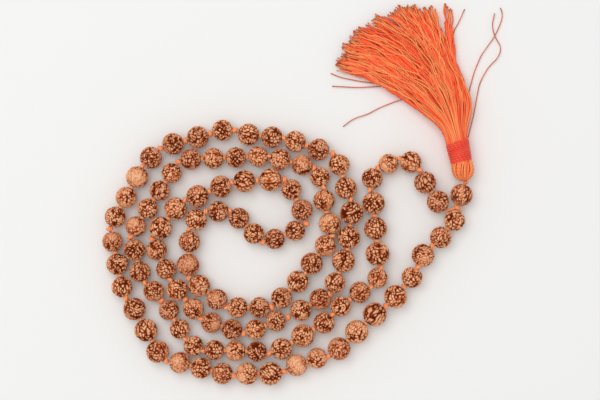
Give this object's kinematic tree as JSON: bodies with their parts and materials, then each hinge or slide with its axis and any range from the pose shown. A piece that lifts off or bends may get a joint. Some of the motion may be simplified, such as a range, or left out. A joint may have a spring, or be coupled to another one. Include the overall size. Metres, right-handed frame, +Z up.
{
  "type": "prayer bead mala",
  "caption": "Closed strand of drilled, furrowed seed beads on a knotted cord, with a guru bead and a bound thread tassel, lying flat in a double spiral.",
  "frame": {"origin": "on the surface it lies on, at the middle of its outline in plan", "axes": "+Z up from the surface; +Y the way the tassel points; +X towards the guru bead"},
  "size_m": [0.1461, 0.1403, 0.0094],
  "materials": {
    "seed_bead": "dry, slightly waxy",
    "guru_seed": "worn, dull",
    "stringing_cord": "twisted thread",
    "tassel_thread": "soft twisted thread",
    "binding_thread": "wound thread"
  },
  "bodies": {
    "cord": {"stringing_cord": "stringing_cord"},
    "beads_01": {"beads_01": "seed_bead"},
    "beads_02": {"beads_02": "seed_bead"},
    "beads_03": {"beads_03": "seed_bead"},
    "beads_04": {"beads_04": "seed_bead"},
    "beads_05": {"beads_05": "seed_bead"},
    "beads_06": {"beads_06": "seed_bead"},
    "beads_07": {"beads_07": "seed_bead"},
    "beads_08": {"beads_08": "seed_bead"},
    "beads_09": {"beads_09": "seed_bead"},
    "beads_10": {"beads_10": "seed_bead"},
    "beads_11": {"beads_11": "seed_bead"},
    "beads_12": {"beads_12": "seed_bead"},
    "beads_13": {"beads_13": "seed_bead"},
    "beads_14": {"beads_14": "seed_bead"},
    "beads_15": {"beads_15": "seed_bead"},
    "beads_16": {"beads_16": "seed_bead"},
    "beads_17": {"beads_17": "seed_bead"},
    "beads_18": {"beads_18": "seed_bead"},
    "beads_19": {"beads_19": "seed_bead"},
    "beads_20": {"beads_20": "seed_bead"},
    "beads_21": {"beads_21": "seed_bead"},
    "beads_22": {"beads_22": "seed_bead"},
    "beads_23": {"beads_23": "seed_bead"},
    "beads_24": {"beads_24": "seed_bead"},
    "beads_25": {"beads_25": "seed_bead"},
    "beads_26": {"beads_26": "seed_bead"},
    "beads_27": {"beads_27": "seed_bead"},
    "beads_28": {"beads_28": "seed_bead"},
    "beads_29": {"beads_29": "seed_bead"},
    "beads_30": {"beads_30": "seed_bead"},
    "beads_31": {"beads_31": "seed_bead"},
    "beads_32": {"beads_32": "seed_bead"},
    "beads_33": {"beads_33": "seed_bead"},
    "beads_34": {"beads_34": "seed_bead"},
    "beads_35": {"beads_35": "seed_bead"},
    "beads_36": {"beads_36": "seed_bead"},
    "beads_37": {"beads_37": "seed_bead"},
    "beads_38": {"beads_38": "seed_bead"},
    "beads_39": {"beads_39": "seed_bead"},
    "beads_40": {"beads_40": "seed_bead"},
    "beads_41": {"beads_41": "seed_bead"},
    "beads_42": {"beads_42": "seed_bead"},
    "beads_43": {"beads_43": "seed_bead"},
    "beads_44": {"beads_44": "seed_bead"},
    "beads_45": {"beads_45": "seed_bead"},
    "beads_46": {"beads_46": "seed_bead"},
    "beads_47": {"beads_47": "seed_bead"},
    "beads_48": {"beads_48": "seed_bead"},
    "beads_49": {"beads_49": "seed_bead"},
    "beads_50": {"beads_50": "seed_bead"},
    "beads_51": {"beads_51": "seed_bead"},
    "beads_52": {"beads_52": "seed_bead"},
    "beads_53": {"beads_53": "seed_bead"},
    "guru_bead": {"guru_bead": "guru_seed"},
    "tassel_neck": {"tassel_neck_knot": "tassel_thread"},
    "tassel": {"tassel_head": "tassel_thread", "tassel_binding": "binding_thread", "tassel_fringe": "tassel_thread", "stray_threads": "tassel_thread"}
  },
  "joints": [
    {"name": "tassel_swing", "type": "hinge", "parent": "cord", "child": "tassel_neck", "pos_m": [0.059, 0.0035, 0.0044], "axis": [0, 0, 1], "range_deg": [-75, 8]},
    {"name": "tassel_lift", "type": "hinge", "parent": "tassel_neck", "child": "tassel", "pos_m": [0.059, 0.0035, 0.0044], "axis": [0.9781, 0.2079, 0], "range_deg": [0, 35]},
    {"name": "guru_spin", "type": "hinge", "parent": "cord", "child": "guru_bead", "pos_m": [0.0575, -0.001, 0.0041], "axis": [0.3162, 0.9487, 0], "continuous": true},
    {"name": "beads_01_spin", "type": "hinge", "parent": "cord", "child": "beads_01", "pos_m": [0.04662, 0, 0.00415], "axis": [-0.5615, 0.8275, 0], "continuous": true},
    {"name": "beads_02_spin", "type": "hinge", "parent": "cord", "child": "beads_02", "pos_m": [0.039, 0.011, 0.004], "axis": [-0.891, 0.4539, 0], "continuous": true},
    {"name": "beads_03_spin", "type": "hinge", "parent": "cord", "child": "beads_03", "pos_m": [0.031, 0.01025, 0.0037], "axis": [-0.9191, -0.3939, 0], "continuous": true},
    {"name": "beads_04_spin", "type": "hinge", "parent": "cord", "child": "beads_04", "pos_m": [0.025, 0.005, 0.0039], "axis": [-0.3601, -0.9329, 0], "continuous": true},
    {"name": "beads_05_spin", "type": "hinge", "parent": "cord", "child": "beads_05", "pos_m": [0.02625, -0.01325, 0.0044], "axis": [0.0808, -0.9967, 0], "continuous": true},
    {"name": "beads_06_spin", "type": "hinge", "parent": "cord", "child": "beads_06", "pos_m": [0.027, -0.03125, 0.00375], "axis": [-0.4211, -0.907, 0], "continuous": true},
    {"name": "beads_07_spin", "type": "hinge", "parent": "cord", "child": "beads_07", "pos_m": [0.017, -0.039, 0.00395], "axis": [-0.8137, -0.5812, 0], "continuous": true},
    {"name": "beads_08_spin", "type": "hinge", "parent": "cord", "child": "beads_08", "pos_m": [-0.00025, -0.05225, 0.00425], "axis": [-0.8526, -0.5226, 0], "continuous": true},
    {"name": "beads_09_spin", "type": "hinge", "parent": "cord", "child": "beads_09", "pos_m": [-0.02475, -0.05775, 0.0038], "axis": [-0.9995, 0.0322, 0], "continuous": true},
    {"name": "beads_10_spin", "type": "hinge", "parent": "cord", "child": "beads_10", "pos_m": [-0.04, -0.056, 0.0037], "axis": [-0.8499, 0.5269, 0], "continuous": true},
    {"name": "beads_11_spin", "type": "hinge", "parent": "cord", "child": "beads_11", "pos_m": [-0.045, -0.04975, 0.0037], "axis": [-0.5692, 0.8222, 0], "continuous": true},
    {"name": "beads_12_spin", "type": "hinge", "parent": "cord", "child": "beads_12", "pos_m": [-0.05175, -0.0395, 0.0039], "axis": [-0.6178, 0.7863, 0], "continuous": true},
    {"name": "beads_13_spin", "type": "hinge", "parent": "cord", "child": "beads_13", "pos_m": [-0.0605, -0.025, 0.004], "axis": [-0.2425, 0.9701, 0], "continuous": true},
    {"name": "beads_14_spin", "type": "hinge", "parent": "cord", "child": "beads_14", "pos_m": [-0.0545, -0.00275, 0.0038], "axis": [0.5547, 0.8321, 0], "continuous": true},
    {"name": "beads_15_spin", "type": "hinge", "parent": "cord", "child": "beads_15", "pos_m": [-0.02875, 0.0125, 0.0039], "axis": [0.9992, 0.0408, 0], "continuous": true},
    {"name": "beads_16_spin", "type": "hinge", "parent": "cord", "child": "beads_16", "pos_m": [-0.0045, 0.011, 0.0039], "axis": [0.9701, -0.2425, 0], "continuous": true},
    {"name": "beads_17_spin", "type": "hinge", "parent": "cord", "child": "beads_17", "pos_m": [0.006, 0.0055, 0.0037], "axis": [0.5241, -0.8517, 0], "continuous": true},
    {"name": "beads_18_spin", "type": "hinge", "parent": "cord", "child": "beads_18", "pos_m": [0.0085, -0.00725, 0.00405], "axis": [0.229, -0.9734, 0], "continuous": true},
    {"name": "beads_19_spin", "type": "hinge", "parent": "cord", "child": "beads_19", "pos_m": [0.0055, -0.02275, 0.00405], "axis": [-0.6097, -0.7926, 0], "continuous": true},
    {"name": "beads_20_spin", "type": "hinge", "parent": "cord", "child": "beads_20", "pos_m": [-0.005, -0.0355, 0.00405], "axis": [-0.7071, -0.7071, 0], "continuous": true},
    {"name": "beads_21_spin", "type": "hinge", "parent": "cord", "child": "beads_21", "pos_m": [-0.02, -0.042, 0.0039], "axis": [-1, 0, 0], "continuous": true},
    {"name": "beads_22_spin", "type": "hinge", "parent": "cord", "child": "beads_22", "pos_m": [-0.03475, -0.0365, 0.00405], "axis": [-0.7926, 0.6097, 0], "continuous": true},
    {"name": "beads_23_spin", "type": "hinge", "parent": "cord", "child": "beads_23", "pos_m": [-0.04175, -0.02225, 0.0042], "axis": [0.0587, 0.9983, 0], "continuous": true},
    {"name": "beads_24_spin", "type": "hinge", "parent": "cord", "child": "beads_24", "pos_m": [-0.039, -0.01, 0.00405], "axis": [0.6905, 0.7234, 0], "continuous": true},
    {"name": "beads_25_spin", "type": "hinge", "parent": "cord", "child": "beads_25", "pos_m": [-0.031, -0.007, 0.0039], "axis": [0.9995, 0.0322, 0], "continuous": true},
    {"name": "beads_26_spin", "type": "hinge", "parent": "cord", "child": "beads_26", "pos_m": [-0.02075, -0.01225, 0.00385], "axis": [0.7071, -0.7071, 0], "continuous": true},
    {"name": "beads_27_spin", "type": "hinge", "parent": "cord", "child": "beads_27", "pos_m": [-0.00675, -0.0155, 0.0038], "axis": [0.9285, 0.3714, 0], "continuous": true},
    {"name": "beads_28_spin", "type": "hinge", "parent": "cord", "child": "beads_28", "pos_m": [-0.0025, -0.00275, 0.004], "axis": [-0.4706, 0.8824, 0], "continuous": true},
    {"name": "beads_29_spin", "type": "hinge", "parent": "cord", "child": "beads_29", "pos_m": [-0.01675, 0.00425, 0.00425], "axis": [-0.9986, -0.0526, 0], "continuous": true},
    {"name": "beads_30_spin", "type": "hinge", "parent": "cord", "child": "beads_30", "pos_m": [-0.03425, 0.00025, 0.00415], "axis": [-0.9247, -0.3807, 0], "continuous": true},
    {"name": "beads_31_spin", "type": "hinge", "parent": "cord", "child": "beads_31", "pos_m": [-0.04925, -0.0095, 0.0042], "axis": [-0.6178, -0.7863, 0], "continuous": true},
    {"name": "beads_32_spin", "type": "hinge", "parent": "cord", "child": "beads_32", "pos_m": [-0.05175, -0.0245, 0.00385], "axis": [0.4472, -0.8944, 0], "continuous": true},
    {"name": "beads_33_spin", "type": "hinge", "parent": "cord", "child": "beads_33", "pos_m": [-0.043, -0.039, 0.004], "axis": [0.6508, -0.7593, 0], "continuous": true},
    {"name": "beads_34_spin", "type": "hinge", "parent": "cord", "child": "beads_34", "pos_m": [-0.02975, -0.04875, 0.00385], "axis": [0.9487, -0.3162, 0], "continuous": true},
    {"name": "beads_35_spin", "type": "hinge", "parent": "cord", "child": "beads_35", "pos_m": [-0.01375, -0.0485, 0.0038], "axis": [0.9285, 0.3714, 0], "continuous": true},
    {"name": "beads_36_spin", "type": "hinge", "parent": "cord", "child": "beads_36", "pos_m": [0.0025, -0.041, 0.00395], "axis": [0.8682, 0.4961, 0], "continuous": true},
    {"name": "beads_37_spin", "type": "hinge", "parent": "cord", "child": "beads_37", "pos_m": [0.013, -0.029, 0.0043], "axis": [0.3511, 0.9363, 0], "continuous": true},
    {"name": "beads_38_spin", "type": "hinge", "parent": "cord", "child": "beads_38", "pos_m": [0.017, -0.012, 0.00435], "axis": [0.1104, 0.9939, 0], "continuous": true},
    {"name": "beads_39_spin", "type": "hinge", "parent": "cord", "child": "beads_39", "pos_m": [0.01425, 0.00575, 0.0041], "axis": [-0.2822, 0.9594, 0], "continuous": true},
    {"name": "beads_40_spin", "type": "hinge", "parent": "cord", "child": "beads_40", "pos_m": [0.00125, 0.017, 0.0041], "axis": [-0.943, 0.3328, 0], "continuous": true},
    {"name": "beads_41_spin", "type": "hinge", "parent": "cord", "child": "beads_41", "pos_m": [-0.01575, 0.0205, 0.0041], "axis": [-0.9932, 0.1168, 0], "continuous": true},
    {"name": "beads_42_spin", "type": "hinge", "parent": "cord", "child": "beads_42", "pos_m": [-0.0385, 0.02, 0.00405], "axis": [-0.9635, -0.2676, 0], "continuous": true},
    {"name": "beads_43_spin", "type": "hinge", "parent": "cord", "child": "beads_43", "pos_m": [-0.0555, 0.0125, 0.0041], "axis": [-0.7348, -0.6783, 0], "continuous": true},
    {"name": "beads_44_spin", "type": "hinge", "parent": "cord", "child": "beads_44", "pos_m": [-0.0645, -0.00175, 0.0041], "axis": [-0.4831, -0.8756, 0], "continuous": true},
    {"name": "beads_45_spin", "type": "hinge", "parent": "cord", "child": "beads_45", "pos_m": [-0.06775, -0.02625, 0.004], "axis": [0.2075, -0.9782, 0], "continuous": true},
    {"name": "beads_46_spin", "type": "hinge", "parent": "cord", "child": "beads_46", "pos_m": [-0.05725, -0.05025, 0.0042], "axis": [0.4808, -0.8768, 0], "continuous": true},
    {"name": "beads_47_spin", "type": "hinge", "parent": "cord", "child": "beads_47", "pos_m": [-0.03725, -0.064, 0.004], "axis": [0.9683, -0.2499, 0], "continuous": true},
    {"name": "beads_48_spin", "type": "hinge", "parent": "cord", "child": "beads_48", "pos_m": [-0.01625, -0.066, 0.0043], "axis": [1, 0, 0], "continuous": true},
    {"name": "beads_49_spin", "type": "hinge", "parent": "cord", "child": "beads_49", "pos_m": [0.00125, -0.06175, 0.004], "axis": [0.9487, 0.3162, 0], "continuous": true},
    {"name": "beads_50_spin", "type": "hinge", "parent": "cord", "child": "beads_50", "pos_m": [0.0195, -0.05075, 0.0044], "axis": [0.7208, 0.6931, 0], "continuous": true},
    {"name": "beads_51_spin", "type": "hinge", "parent": "cord", "child": "beads_51", "pos_m": [0.0365, -0.0345, 0.0043], "axis": [0.6508, 0.7593, 0], "continuous": true},
    {"name": "beads_52_spin", "type": "hinge", "parent": "cord", "child": "beads_52", "pos_m": [0.0435, -0.023, 0.00425], "axis": [0.5865, 0.8099, 0], "continuous": true},
    {"name": "beads_53_spin", "type": "hinge", "parent": "cord", "child": "beads_53", "pos_m": [0.0525, -0.01337, 0.004], "axis": [0.6247, 0.7809, 0], "continuous": true}
  ]
}
